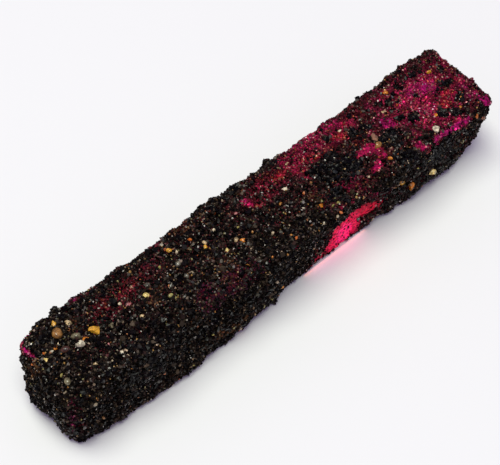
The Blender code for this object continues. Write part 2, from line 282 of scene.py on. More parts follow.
def depth_inside(corners, across, up):
    """How far each point lies inside a flat outline, negative outside it."""
    rim = np.full(len(across), np.inf)
    inside = np.zeros(len(across), dtype=bool)
    for (x0, y0), (x1, y1) in zip(corners, corners[1:] + corners[:1]):
        length = math.hypot(x1 - x0, y1 - y0)
        share = ((across - x0) * (x1 - x0) + (up - y0) * (y1 - y0)) / length**2
        share = np.clip(share, 0.0, 1.0)
        rim = np.minimum(rim, np.hypot(across - x0 - share * (x1 - x0), up - y0 - share * (y1 - y0)))
        spans = (y0 > up) != (y1 > up)
        meets = x0 + (up - y0) * (x1 - x0) / ((y1 - y0) or 1.0)
        inside ^= spans & (across < meets)
    return np.where(inside, rim, -rim)


def wander(points, strength, span, shift):
    """Smooth noise at each point, between about -strength and strength."""
    return strength * np.array([noise.noise(Vector(point / span + shift)) for point in points])


def wear_at(points):
    """At each point: how bare, magenta, clean, stained and clodded the stone is, and its painted glow."""
    ragged = wander(points, *RAGGED)
    frayed = wander(points, *FRAYED)
    mottled = 1.0 + wander(points, *MOTTLED)
    blotched = BLOTCHED_MEAN + wander(points, *BLOTCHED)
    points = points / MM
    along, across, up = points.T
    bare, magenta, clod, clean, painted_glow = np.zeros((5, len(points)))
    for path, reach, bareness, hue in WORN_PLACES.values():
        near = 1.0 - step_between(*WORN_FADE, distance_to(path, points) / reach + ragged + frayed)
        near = bareness * near * np.clip(mottled, *MOTTLED_LIMITS)
        magenta = np.where(near > bare, hue, magenta)
        bare = np.maximum(bare, near)
    for centre, reach in BLACK_CLODS:
        near = 1.0 - step_between(*CLOD_FADE, distance_to((centre,), points) / reach + ragged + frayed)
        bare *= kept_off(near, CLOD_COVER)
        clod = np.maximum(clod, near)
    stain = bare.copy()
    for path, reach, share in STAINED_PLACES:
        away = distance_to(path, points) / reach + STAIN_RAGGED * (ragged + frayed)
        near = 1.0 - step_between(*STAIN_FADE, away)
        stain = np.maximum(stain, share * near * np.clip(blotched, *BLOTCHED_LIMITS))
    stain *= kept_off(clod, CLOD_UNSTAINED)
    for corners, hue in TOP_PATCHES.values():
        inside = depth_inside(corners, along, across) + PATCH_RAGGED * (ragged + frayed)
        near = step_between(-PATCH_RIM, PATCH_RIM, inside) * (up > TOP_FACE)
        magenta = np.where(near > bare, hue, magenta)
        clean = np.maximum(clean, near)
        bare = np.maximum(bare, near)
    # the window: open crust, and the painted glow that stands for light through the stone
    for corners, strength, hue in WINDOW_WITH_PAINTED_GLOW.values():
        inside = depth_inside(corners, along, up) + WINDOW_FRAYED * frayed + ragged
        near = step_between(-WINDOW_RIM, WINDOW_RIM, inside) * (across < FRONT_FACE)
        magenta = np.where(strength * near > painted_glow, hue, magenta)
        open_share = min(1.0, WINDOW_OPENING * strength)
        clean = np.maximum(clean, open_share * near)
        bare = np.maximum(bare, open_share * near)
        painted_glow = np.maximum(painted_glow, strength * near)
    return np.clip(bare, 0.0, 1.0), magenta, painted_glow, clean, np.clip(stain, 0.0, 1.0), clod


def arrays_of(body):
    """The points and the triangles of a bmesh."""
    points = np.array([vertex.co[:] for vertex in body.verts])
    return points, np.array([[vertex.index for vertex in face.verts] for face in body.faces])


def new_object(name, data):
    """An object of this mesh, lamp or camera, linked to the scene."""
    thing = bpy.data.objects.new(name, data)
    bpy.context.scene.collection.objects.link(thing)
    return thing


cad_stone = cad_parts["ruby_bar"]
skin = bmesh.new()
skin.from_mesh(cad_stone.data)
bmesh.ops.remove_doubles(skin, verts=skin.verts[:], dist=SAME_POINT)
bmesh.ops.subdivide_edges(skin, edges=skin.edges[:], cuts=SKIN_CUTS, use_grid_fill=True)
bmesh.ops.triangulate(skin, faces=skin.faces[:])
smoothed = [vertex for vertex in skin.verts if vertex.co.z > SMOOTHED_LOWEST]
for _ in range(SKIN_SMOOTHINGS):
    bmesh.ops.smooth_vert(
        skin, verts=smoothed, factor=SKIN_SMOOTHING, use_axis_x=True, use_axis_y=True, use_axis_z=True
    )
skin.normal_update()
sunk = []
for vertex in skin.verts:
    rough = noise.noise(vertex.co / SKIN_ROUGHNESS_SPAN) * SKIN_ROUGHNESS
    pit = max(0.0, noise.noise(vertex.co / PITS_SPAN + PITS_SHIFT) - PITS_START) * PITS
    place = vertex.co + vertex.normal * (rough - pit - SKIN_DEPTH)
    for middle, reach, moved in SWELLS.values():
        near = max(0.0, 1.0 - ((place / MM - Vector(middle)).length / reach) ** 2)
        place += Vector(moved) * MM * near
    sunk.append((place.x, place.y, max(place.z, SKIN_LOWEST)))
for vertex, place in zip(skin.verts, sunk):
    vertex.co = place
skin.normal_update()

skin_points, skin_faces = arrays_of(skin)
skin_normals = np.array([vertex.normal[:] for vertex in skin.verts])
skin_wear = wear_at(skin_points)
skin_bare, skin_magenta, skin_painted_glow, skin_clean, skin_stain, skin_clod = skin_wear
skin_tree = BVHTree.FromBMesh(skin)

stone_mesh = bpy.data.meshes.new("ruby_stone")
skin.to_mesh(stone_mesh)
skin.free()
stone_mesh.shade_smooth()
SKIN_LAYERS = ("bare", "magenta", "painted_glow", "clean", "stain")
for name, values in zip(SKIN_LAYERS, skin_wear):
    layer = stone_mesh.attributes.new(name, "FLOAT", "POINT")
    layer.data.foreach_set("value", values.astype(np.float32))
ruby_stone = new_object("ruby_stone", stone_mesh)


def node_makers(tree):
    """For one node tree, a function that sets a node's inputs and one that adds a node."""

    def fill(node, inputs):
        for key, value in inputs.items():
            if isinstance(value, bpy.types.NodeSocket):
                tree.links.new(value, node.inputs[key])
            else:
                node.inputs[key].default_value = value
        return node

    def add(kind, inputs=None, **settings):
        node = tree.nodes.new(kind)
        for key, value in settings.items():
            setattr(node, key, value)
        return fill(node, inputs or {})

    return fill, add


def new_material(name):
    """A material, with one function that adds a node and one that sets its shader's inputs."""
    material = bpy.data.materials.new(name)
    material.use_nodes = True
    fill, add = node_makers(material.node_tree)

    def finish(inputs):
        fill(material.node_tree.nodes["Principled BSDF"], inputs)

    return material, add, finish


FIRST_COLOUR = 6  # the places of the colour sockets on a Mix node
SECOND_COLOUR = 7
MIXED_COLOUR = 2


def mixed(add, share, first, second, blend_type="MIX"):
    """Two colours mixed, or multiplied, by a share."""
    inputs = {"Factor": share, FIRST_COLOUR: first, SECOND_COLOUR: second}
    return add("ShaderNodeMix", inputs, data_type="RGBA", blend_type=blend_type).outputs[MIXED_COLOUR]


def product(add, first, second):
    """Two values multiplied."""
    return add("ShaderNodeMath", {0: first, 1: second}, operation="MULTIPLY").outputs[0]


def ranged(add, value, limits, results):
    """A value between the limits, moved to lie between the results."""
    inputs = {"Value": value, "From Min": limits[0], "From Max": limits[1]}
    inputs.update({"To Min": results[0], "To Max": results[1]})
    return add("ShaderNodeMapRange", inputs).outputs["Result"]


CLOUD_INPUTS = ("Scale", "Detail", "Roughness", "Dark Below", "Light Above", "Darkest", "Lightest")


def stone_clouds_group():
    """The uneven shade of natural stone: smooth clouds from the darkest to the lightest."""
    group = bpy.data.node_groups.new("stone_clouds", "ShaderNodeTree")
    group.interface.new_socket("Place", in_out="INPUT", socket_type="NodeSocketVector")
    for name in CLOUD_INPUTS:
        group.interface.new_socket(name, in_out="INPUT", socket_type="NodeSocketFloat")
    group.interface.new_socket("Shade", in_out="OUTPUT", socket_type="NodeSocketFloat")
    fill, add = node_makers(group)
    given = add("NodeGroupInput").outputs
    inputs = {"Vector": given["Place"], "Scale": given["Scale"], "Detail": given["Detail"]}
    inputs["Roughness"] = given["Roughness"]
    cloud = add("ShaderNodeTexNoise", inputs).outputs["Fac"]
    limits = given["Dark Below"], given["Light Above"]
    shade = ranged(add, cloud, limits, (given["Darkest"], given["Lightest"]))
    fill(add("NodeGroupOutput"), {"Shade": shade})
    return group


STONE_CLOUDS = stone_clouds_group()


def clouded(add, place, scale, detail, limits, shades, roughness=0.5):
    """Stone clouds of one scale, with the limits of their noise and the shades there."""
    values = (scale, detail, roughness, *limits, *shades)
    inputs = {"Place": place, **dict(zip(CLOUD_INPUTS, values))}
    return add("ShaderNodeGroup", inputs, node_tree=STONE_CLOUDS).outputs["Shade"]


def set_ramp(ramp, stops):
    """Puts stops of (place, colour) on a Color Ramp node, with no blending between them."""
    ramp.color_ramp.interpolation = "CONSTANT"
    elements = ramp.color_ramp.elements
    while len(elements) > 1:
        elements.remove(elements[-1])
    elements[0].position = stops[0][0]
    elements[0].color = (*stops[0][1], 1.0)
    for place, colour in stops[1:]:
        elements.new(place).color = (*colour, 1.0)


SKIN_SAND = (
    (0.0, (0.0015, 0.0005, 0.0005)),
    (0.4, (0.004, 0.002, 0.002)),
    (0.58, (0.003, 0.003, 0.004)),
    (0.7, (0.01, 0.006, 0.003)),
    (0.8, (0.02, 0.007, 0.005)),
    (0.9, (0.032, 0.022, 0.016)),
    (0.96, (0.06, 0.046, 0.032)),
    (0.99, (0.2, 0.16, 0.11)),
)


def crusted_ruby():
    """Ruby skin with the finest sand bonded to it: each tiny cell is sand or bare stone. Its window glow is
    painted.
    """
    material, add, finish = new_material("crusted_ruby")
    place = add("ShaderNodeTexCoord").outputs["Object"]
    cells = add("ShaderNodeTexVoronoi", {"Vector": place, "Scale": 3600.0, "Randomness": 1.0})
    chance = add("ShaderNodeSeparateColor", {"Color": cells.outputs["Color"]}).outputs
    bare, magenta, painted_glow, clean, stain = (
        add("ShaderNodeAttribute", attribute_name=name).outputs["Fac"] for name in SKIN_LAYERS
    )

    sand = add("ShaderNodeValToRGB", {"Fac": chance["Red"]})
    set_ramp(sand, SKIN_SAND)
    dusted = add("ShaderNodeMath", {0: stain, 1: chance["Blue"]}, operation="GREATER_THAN")
    maroon = mixed(add, dusted.outputs[0], sand.outputs["Color"], (0.06, 0.005, 0.01, 1.0))
    hue = mixed(add, magenta, (0.3, 0.004, 0.02, 1.0), (0.42, 0.006, 0.14, 1.0))
    # a gritty face has a tone for each cell, a clean one only a fine grain and slow clouds
    tone = ranged(add, chance["Blue"], (0.0, 1.0), (0.3, 1.5))
    grain = clouded(add, place, 2600.0, 2.0, (0.32, 0.62), (0.2, 1.2))
    even = add("ShaderNodeMix", {"Factor": clean, "A": tone, "B": grain}).outputs["Result"]
    slow = (620.0, 2.0)  # the scale and detail of the slow clouds
    cloud = clouded(add, place, *slow, (0.32, 0.66), (0.35, 1.3))
    depth = ranged(add, bare, (0.0, 1.0), (0.1, 1.0))
    ruby = mixed(add, 1.0, hue, product(add, product(add, even, depth), cloud), "MULTIPLY")
    # the bare stone shows where it wins over the chance of each cell
    laid = product(add, bare, clouded(add, place, *slow, (0.35, 0.65), (0.75, 1.25)))
    over = add("ShaderNodeMath", {0: laid, 1: chance["Green"]}, operation="SUBTRACT").outputs[0]
    shown = ranged(add, over, (-0.1, 0.04), (0.0, 1.0))

    # painted glow, by emission, for the light that comes through the stone: red, and pink where the stone is
    # thinnest
    painted_light_hue = mixed(add, magenta, (0.78, 0.008, 0.04, 1.0), (0.86, 0.018, 0.12, 1.0))
    painted_light_share = product(add, ranged(add, painted_glow, (0.0, 1.35), (0.0, 1.3)), shown)
    squeezed = add("ShaderNodeVectorMath", {0: place, 1: (0.8, 1.0, 1.2)}, operation="MULTIPLY")
    ripple = clouded(add, squeezed.outputs[0], 1700.0, 3.0, (0.38, 0.58), (0.15, 1.15))
    painted_light = mixed(add, 1.0, painted_light_hue, product(add, painted_light_share, ripple), "MULTIPLY")
    relief = {"Height": cells.outputs["Distance"], "Strength": 0.7, "Distance": 0.12 * MM}
    finish({
        "Base Color": mixed(add, shown, maroon, ruby),
        "Emission Color": painted_light,
        "Emission Strength": 1.0,
        "Roughness": ranged(add, chance["Green"], (0.0, 1.0), (0.35, 0.8)),
        "Specular IOR Level": 0.05,
        "Normal": add("ShaderNodeBump", relief, invert=True).outputs["Normal"],
    })
    material.cycles.emission_sampling = "NONE"
    return material


stone_mesh.materials.clear()
stone_mesh.materials.append(crusted_ruby())
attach(ruby_stone, "root")
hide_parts("ruby_bar")

# --------------------------------------
# The larger grains: single pebbles and chips of quartz one to two millimetres wide,
# honey-coloured, milky or iron-brown, that stand out of the crust.

GRAIN_COLOURS = {
    "gold": (0.8, 0.4, 0.03),
    "amber": (0.36, 0.17, 0.04),
    "orange": (0.74, 0.24, 0.02),
    "yellow": (1.0, 0.76, 0.26),
    "olive": (0.34, 0.3, 0.1),
    "cream": (0.62, 0.44, 0.22),
    "milk": (0.8, 0.7, 0.5),
    "white": (0.95, 0.82, 0.58),
    "horn": (0.2, 0.17, 0.09),
    "grey": (0.17, 0.15, 0.11),
    "tan": (0.33, 0.16, 0.09),
    "rose": (0.42, 0.14, 0.13),
    "brown": (0.075, 0.03, 0.018),
    "slate": (0.1, 0.09, 0.11),
}
# Each grain: its colour and form, its width in millimetres and its place on the bar
LARGE_GRAINS = (
    ("amber pebble", 2.1, (-46.6, 4.9, 18.8)),
    ("gold chip", 2.1, (-40.9, 0.7, 18.8)),
    ("milk pebble", 1.8, (-44.7, 0.2, 19)),
    ("horn pebble", 1.8, (-44.3, 2, 18.9)),
    ("brown pebble", 1.8, (-47.4, 1.3, 18.5)),
    ("gold chip", 1.1, (-45.8, 6.8, 19.2)),
    ("cream chip", 1.2, (-43.5, 5.3, 18.9)),
    ("orange chip", 1.2, (-43.4, 0.6, 19.2)),
    ("orange pebble", 0.9, (-48.5, 2.9, 18.4)),
    ("milk pebble", 0.8, (-49.5, 2.7, 18.4)),
    ("yellow chip", 0.9, (-51.3, 2.1, 18.4)),
    ("cream shard", 0.8, (-44.9, -4.5, 18.5)),
    ("horn pebble", 1.4, (-51.2, -4.2, 18.9)),
    ("white pebble", 0.8, (-39.8, -5.7, 18.3)),
    ("white pebble", 0.6, (-40.2, -4.9, 18.4)),
    ("horn shard", 1.1, (-37.9, 0.1, 18.3)),
    ("amber pebble", 1, (-47.7, -8.6, 5.6)),
    ("tan pebble", 1, (-29.9, 3.8, 18.5)),
    ("grey chip", 1.5, (-27.4, 2.1, 18.2)),
    ("yellow pebble", 1.2, (-29, 0.7, 18.5)),
    ("olive pebble", 1, (-25.5, -2.4, 18.3)),
    ("olive chip", 0.9, (-24.9, -3.4, 18.4)),
    ("rose shard", 1.1, (-32.8, 1.3, 18.8)),
    ("cream pebble", 1, (-32.4, -2.4, 18.6)),
    ("grey pebble", 1.3, (-20, 2.1, 18.2)),
    ("grey pebble", 1.1, (-20.5, -1.1, 18.3)),
    ("cream pebble", 1, (-13.1, 2.4, 18.4)),
    ("gold pebble", 1, (-13.7, 1.5, 18.3)),
    ("gold pebble", 1.1, (-20.1, 4.9, 19.3)),
    ("milk chip", 0.8, (-19.7, 7.3, 18.4)),
    ("cream pebble", 1.1, (-8.2, -1.3, 18.9)),
    ("orange pebble", 1.2, (-7.4, -2.3, 18.9)),
    ("yellow chip", 0.9, (-11.1, -1.7, 18.4)),
    ("grey chip", 1.2, (-13.5, -2.9, 18.4)),
    ("rose pebble", 0.9, (-4.2, 3.5, 18.2)),
    ("milk chip", 1.2, (6.8, 1.5, 18.4)),
    ("cream chip", 1.2, (10.9, 5.6, 18.5)),
    ("milk pebble", 0.7, (6.4, -4.4, 18.6)),
    ("olive chip", 1, (10.4, -5.3, 18.2)),
    ("orange chip", 1.1, (9.5, -6, 18.4)),
    ("orange pebble", 0.7, (-5.4, -8.6, 18.3)),
    ("tan chip", 1.7, (28.6, -1.4, 18.6)),
    ("amber chip", 1.5, (27.7, -3, 18.5)),
    ("orange pebble", 1.1, (38.5, 5.8, 17.9)),
    ("slate shard", 1.1, (39, 4.5, 17.9)),
    ("cream chip", 1.1, (34.6, 2.4, 18)),
    ("tan pebble", 0.9, (29.4, -5.3, 18.5)),
    ("orange pebble", 1.1, (27.7, -6.8, 18.2)),
    ("gold chip", 1.3, (48.9, 3.9, 17.9)),
    ("orange pebble", 0.7, (43, -0.7, 18)),
    ("orange chip", 1.1, (42.4, -4.9, 17.7)),
    ("white chip", 1.5, (39.5, -7.9, 18.3)),
    ("orange shard", 0.9, (47.9, -6.6, 17.6)),
    ("yellow chip", 2.2, (38.4, -9.6, 6)),
    ("orange chip", 2, (32.1, -9.3, 7)),
    ("gold chip", 1.5, (29.1, -9.2, 10.5)),
    ("tan pebble", 1.1, (52, -9.9, 13.2)),
    ("olive chip", 1.3, (46.8, -9.6, 9.1)),
)
SUNK_SHARE = 0.12  # the share of its width that the middle of a smaller one lies under the crust
PLACED_WIDTH = 1.5  # the middle of a grain at least this wide is the place that is given
ROOM_SHARE = 0.5  # no sand lies within this share of its width of a grain's place
HONEY_COLOURS = ("gold", "amber", "orange", "yellow", "olive")
PEBBLE_LENGTH = 1.1
PEBBLE_WIDTHS = (0.85, 1.0)
PEBBLE_HEIGHTS = (0.75, 0.9)
PEBBLE_SWELLS = ((0.16, 1.8), (0.05, 6.0))  # how strong they are and how close together
CHIP_CUTS = 9
CHIP_CUT_DEPTHS = (0.24, 0.36)
CHIP_LENGTHS = {"chip": 1.2, "shard": 1.7}
SHARP_EDGE = math.radians(30.0)


def pebble_shape(grain, chance):
    """A worn, rounded grain."""
    bmesh.ops.create_icosphere(grain, subdivisions=3, radius=0.5)
    shift = Vector([chance.uniform(0.0, 50.0) for _ in range(3)])
    stretch = Vector((PEBBLE_LENGTH, chance.uniform(*PEBBLE_WIDTHS), chance.uniform(*PEBBLE_HEIGHTS)))
    for vertex in grain.verts:
        swell = 1.0
        for strength, rate in PEBBLE_SWELLS:
            swell += strength * noise.noise(vertex.co * rate + shift)
        vertex.co = vertex.co * stretch * swell


def chip_shape(grain, chance, length):
    """A broken grain: flat faces cut on a rounded one."""
    bmesh.ops.create_icosphere(grain, subdivisions=4, radius=0.55)
    cuts = []
    for _ in range(CHIP_CUTS):
        facing = Vector([chance.gauss(0.0, 1.0) for _ in range(3)]).normalized()
        cuts.append((facing, chance.uniform(*CHIP_CUT_DEPTHS)))
    for vertex in grain.verts:
        for facing, depth in cuts:
            over = vertex.co.dot(facing) - depth
            if over > 0.0:
                vertex.co = vertex.co - over * facing
        vertex.co.x *= length


def large_grain(form, chance):
    """One grain about a unit across: its points and triangles."""
    grain = bmesh.new()
    if form == "pebble":
        pebble_shape(grain, chance)
    else:
        chip_shape(grain, chance, CHIP_LENGTHS[form])
    bmesh.ops.recalc_face_normals(grain, faces=grain.faces[:])
    grain.verts.index_update()
    turn = Vector([chance.gauss(0.0, 1.0) for _ in range(3)]).to_track_quat("Z", "Y").to_matrix()
    for vertex in grain.verts:
        vertex.co = turn @ vertex.co
    arrays = arrays_of(grain)
    grain.free()
    return arrays


def quartz_material(name):
    """Cloudy quartz: its own colour with paler veins, darker stains and a dull gloss."""
    material, add, finish = new_material(name)
    place = add("ShaderNodeTexCoord").outputs["Object"]
    tint = add("ShaderNodeAttribute", attribute_name="tint").outputs["Color"]
    shade = clouded(add, place, 1500.0, 4.0, (0.34, 0.66), (0.28, 1.4), roughness=0.65)
    pits = clouded(add, place, 4200.0, 2.0, (0.0, 1.0), (0.0, 1.0))
    relief = {"Height": pits, "Strength": 0.5, "Distance": 0.08 * MM}
    finish({
        "Base Color": mixed(add, 1.0, tint, shade, "MULTIPLY"),
        "Roughness": 0.22,
        "IOR": 1.54,
        "Transmission Weight": 0.15,
        "Normal": add("ShaderNodeBump", relief).outputs["Normal"],
    })
    return material


def tinted_mesh(name, points, faces, tints, material):
    """A mesh of one material that carries a colour at each point."""
    mesh = bpy.data.meshes.new(name)
    mesh.from_pydata(points, [], faces)
    tint = mesh.attributes.new("tint", "FLOAT_COLOR", "POINT")
    rgba = np.ones((len(points), 4), dtype=np.float32)
    rgba[:, :3] = tints
    tint.data.foreach_set("color", rgba.ravel())
    mesh.materials.append(material)
    return mesh


def put_on_bar(name, mesh):
    """Makes a piece of a mesh, which rides on the bar."""
    piece = new_object(name, mesh)
    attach(piece, "root")


def large_grain_piece(name, grains, seed, material):
    """Joins large grains into one piece, each with its own colour."""
    chance = random.Random(seed)
    points, faces, tints, start = [], [], [], 0
    for kind, width, place in grains:
        colour, form = kind.split()
        corners, triangles = large_grain(form, chance)
        nearest, normal, _, _ = skin_tree.find_nearest(Vector(place) * MM)
        centre = nearest - normal * SUNK_SHARE * width * MM
        if width >= PLACED_WIDTH:
            centre = Vector(place) * MM
        points.append(corners * width * MM + np.array(centre))
        faces.append(triangles + start)
        tints.append(np.tile(GRAIN_COLOURS[colour], (len(corners), 1)))
        start += len(corners)
    joined = np.concatenate(points), np.concatenate(faces), np.concatenate(tints)
    mesh = tinted_mesh(name, *joined, material)
    mesh.shade_smooth()
    mesh.set_sharp_from_angle(angle=SHARP_EDGE)
    put_on_bar(name, mesh)


honey_grains = [grain for grain in LARGE_GRAINS if grain[0].split()[0] in HONEY_COLOURS]
other_grains = [grain for grain in LARGE_GRAINS if grain not in honey_grains]
large_grain_piece("honey_pebbles", honey_grains, 5, quartz_material("honey_quartz"))
large_grain_piece("milky_pebbles", other_grains, 6, quartz_material("milky_quartz"))
sand_room = np.ones(len(skin_points))  # 0 where a large grain leaves no room for sand
for _, width, place in LARGE_GRAINS:
    sand_room[distance_to((place,), skin_points / MM) < ROOM_SHARE * width] = 0.0

# --------------------------------------
# The black sand: fine angular grains, nearly all of them dark, that bonded to the stone
# side by side as its crust. It lies close over most of the bar and thin on worn places.

SAND_SEED = 41
draws = np.random.default_rng(SAND_SEED)


def face_order(points, faces):
    """The faces in an order that depends on their places alone."""
    middles = np.round(points[faces].mean(axis=1) / SAME_POINT)
    return faces[np.lexsort(middles.T)]


skin_faces = face_order(skin_points, skin_faces)
skin_corners = skin_points[skin_faces]
skin_sides = skin_corners[:, 1:] - skin_corners[:, :1]
skin_areas = 0.5 * np.linalg.norm(np.cross(skin_sides[:, 0], skin_sides[:, 1]), axis=1)


def scattered(count, weights):
    """Grains strewn over the skin by weight and area, with their places, normals and wear."""
    odds = skin_areas * (weights * sand_room)[skin_faces].mean(axis=1)
    chosen = draws.choice(len(skin_faces), size=count, p=odds / odds.sum())
    shares = draws.random((count, 2))
    folded = shares.sum(axis=1) > 1.0
    shares[folded] = 1.0 - shares[folded]
    weight = np.stack([1.0 - shares.sum(axis=1), shares[:, 0], shares[:, 1]], axis=1)
    corners = skin_faces[chosen]

    def blend(values):
        return np.einsum("nc,nc...->n...", weight, values[corners])

    normals = blend(skin_normals)
    normals /= np.linalg.norm(normals, axis=1)[:, None]
    return SimpleNamespace(
        places=blend(skin_points),
        normals=normals,
        bare=blend(skin_bare),
        magenta=blend(skin_magenta),
        stain=blend(skin_stain),
    )


GRAIN_UNEVENNESS = 0.17


def grain_shape(kind, seed):
    """One small angular grain about a unit across: its points and triangles."""
    chance = random.Random(seed)
    shape = bmesh.new()
    if kind == "shard":
        for corner in ((1, 0, 0), (-1, 0, 0), (0, 1, 0), (0, -1, 0), (0, 0, 1), (0, 0, -1)):
            shape.verts.new(Vector(corner) * 0.6)
        bmesh.ops.convex_hull(shape, input=shape.verts[:])
    elif kind == "block":
        bmesh.ops.create_cube(shape, size=0.8)
    else:
        bmesh.ops.create_icosphere(shape, subdivisions=1, radius=0.55)
    for vertex in sorted(shape.verts, key=lambda corner: tuple(corner.co)):
        vertex.co += Vector([chance.uniform(-GRAIN_UNEVENNESS, GRAIN_UNEVENNESS) for _ in range(3)])
    bmesh.ops.triangulate(shape, faces=shape.faces[:])
    bmesh.ops.recalc_face_normals(shape, faces=shape.faces[:])
    shape.verts.index_update()
    arrays = arrays_of(shape)
    shape.free()
    return arrays


GRAIN_SEEDS = {"shard": 0, "block": 20, "nugget": 40}
SHAPES_OF_A_KIND = 8
GRAIN_SHAPES = {
    kind: [grain_shape(kind, seed) for seed in range(first, first + SHAPES_OF_A_KIND)]
    for kind, first in GRAIN_SEEDS.items()
}


def turns(count):
    """Random turns, as one matrix for each grain."""
    w, x, y, z = draws.normal(size=(4, count))
    length = np.sqrt(w * w + x * x + y * y + z * z)
    w, x, y, z = w / length, x / length, y / length, z / length
    rows = (
        (1 - 2 * (y * y + z * z), 2 * (x * y - w * z), 2 * (x * z + w * y)),
        (2 * (x * y + w * z), 1 - 2 * (x * x + z * z), 2 * (y * z - w * x)),
        (2 * (x * z - w * y), 2 * (y * z + w * x), 1 - 2 * (x * x + y * y)),
    )
    return np.array(rows).transpose(2, 0, 1)


GRAIN_LOWEST = 0.02 * MM
GRAIN_STRETCHES = (0.7, 1.3)
BAKE_SQUARE = ((0.15, 0.15), (0.85, 0.15), (0.15, 0.85))  # a grain's place in its own square


def grain_piece(name, places, widths, colours, kinds, material):
    """Joins one grain at each place into a single mesh, each grain with its own colour."""
    count = len(places)
    stretch = draws.uniform(*GRAIN_STRETCHES, (count, 3)) * widths[:, None]
    turned = turns(count)
    shapes = [shape for kind in kinds for shape in GRAIN_SHAPES[kind]]
    picks = draws.integers(0, len(shapes), count)
    side = math.ceil(math.sqrt(count))  # squares along one side of the baked map
    points, faces, tints, squares = [], [], [], []
    start = 0
    for pick, (corners, triangles) in enumerate(shapes):
        mine = np.nonzero(picks == pick)[0]
        local = corners[None, :, :] * stretch[mine][:, None, :]
        world = np.einsum("nij,npj->npi", turned[mine], local) + places[mine][:, None, :]
        points.append(world.reshape(-1, 3))
        offsets = start + np.arange(len(mine)) * len(corners)
        faces.append((triangles[None, :, :] + offsets[:, None, None]).reshape(-1, 3))
        tints.append(np.repeat(colours[mine], len(corners), axis=0))
        low = np.stack([mine % side, mine // side], axis=1)
        square = (low[:, None, None, :] + np.array(BAKE_SQUARE)[None, None, :, :]) / side
        squares.append(np.broadcast_to(square, (len(mine), len(triangles), 3, 2)).reshape(-1, 2))
        start += len(mine) * len(corners)
    points = np.concatenate(points)
    points[:, 2] = np.maximum(points[:, 2], GRAIN_LOWEST)
    mesh = tinted_mesh(name, points, np.concatenate(faces), np.concatenate(tints), material)
    baked = mesh.uv_layers.new(name="OFBake")
    baked.uv.foreach_set("vector", np.concatenate(squares).astype(np.float32).ravel())
    put_on_bar(name, mesh)


def picked_colours(count, palette, spread):
    """One colour for each grain from (share, colour) pairs, lighter or darker by spread."""
    shares = np.array([share for share, _ in palette])
    colours = np.array([colour for _, colour in palette])
    chosen = colours[draws.choice(len(palette), size=count, p=shares / shares.sum())]
    return chosen * np.exp(draws.normal(0.0, spread, count))[:, None]


def sand_material(name, roughness, specular):
    """Bare mineral grains, each with the colour that it carries."""
    material, add, finish = new_material(name)
    tint = add("ShaderNodeAttribute", attribute_name="tint").outputs["Color"]
    finish({"Base Color": tint, "Roughness": roughness, "Specular IOR Level": specular})
    return material


STAIN_BROWN = np.array((0.034, 0.012, 0.012))
STAIN_BROWN_TURN = np.array((-0.014, -0.005, 0.004))  # how magenta turns the brown
STAIN_MAROON = np.array((0.105, 0.011, 0.019))
STAIN_MAROON_TURN = np.array((-0.05, -0.004, 0.02))
STAIN_CRIMSON = np.array((0.52, 0.014, 0.054))
STAIN_PURPLE = np.array((0.54, 0.014, 0.135))
MAROON_BETWEEN = (0.45, 0.85)


def ruby_stain(grains):
    """The colour that ruby dust lends to the grains: brown, maroon or, on worn places, red."""
    bare, magenta = grains.bare[:, None], grains.magenta[:, None]
    brown = STAIN_BROWN + STAIN_BROWN_TURN * magenta
    maroon = STAIN_MAROON + STAIN_MAROON_TURN * magenta
    dull = brown + (maroon - brown) * step_between(*MAROON_BETWEEN, grains.stain)[:, None]
    bright = STAIN_CRIMSON + (STAIN_PURPLE - STAIN_CRIMSON) * magenta
    return dull + (bright - dull) * bare


# painted shade: colour factors for the sand on the sides, which face away from the lamp, and on the top
PAINTED_SIDE_SHADE = np.array((0.86, 0.76, 0.64))
PAINTED_TOP_SHADE = np.array((1.02, 0.97, 0.96))
UPWARD_BETWEEN = (0.2, 0.8)  # a face this far upward counts as a side, or as the top


def painted_side_shade(colours, grains):
    """Painted shade: the sand on the sides, which gets less of the lamp, is darker and warmer than on top.
    """
    upward = step_between(*UPWARD_BETWEEN, grains.normals[:, 2])[:, None]
    return colours * (PAINTED_SIDE_SHADE + (PAINTED_TOP_SHADE - PAINTED_SIDE_SHADE) * upward)


def strewn_piece(name, weights, count, widths, height, palette, spread, kinds, material,
                 fineness=1.0, recolour=None):
    """Strews one kind of grain over the skin, each with its width in millimetres and the share
    of it that its middle stands out, and joins the grains in one piece."""
    grains = scattered(count, weights)
    widths = draws.uniform(*widths, count) ** fineness * MM
    if isinstance(height, tuple):
        height = draws.uniform(*height, count)
    places = grains.places + grains.normals * (widths * height)[:, None]
    colours = picked_colours(count, palette, spread)
    if recolour:
        colours = recolour(colours, grains)
    grain_piece(name, places, widths, colours, kinds, material)


BLACK_SAND = (
    (0.4, (0.002, 0.001, 0.001)),
    (0.13, (0.003, 0.003, 0.004)),
    (0.15, (0.007, 0.0055, 0.003)),
    (0.13, (0.012, 0.007, 0.006)),
    (0.1, (0.028, 0.021, 0.016)),
    (0.05, (0.054, 0.043, 0.034)),
    (0.04, (0.11, 0.085, 0.058)),
)
RUSTY_SAND = (
    (0.5, (0.05, 0.02, 0.01)),
    (0.3, (0.08, 0.045, 0.022)),
    (0.2, (0.02, 0.012, 0.008)),
)
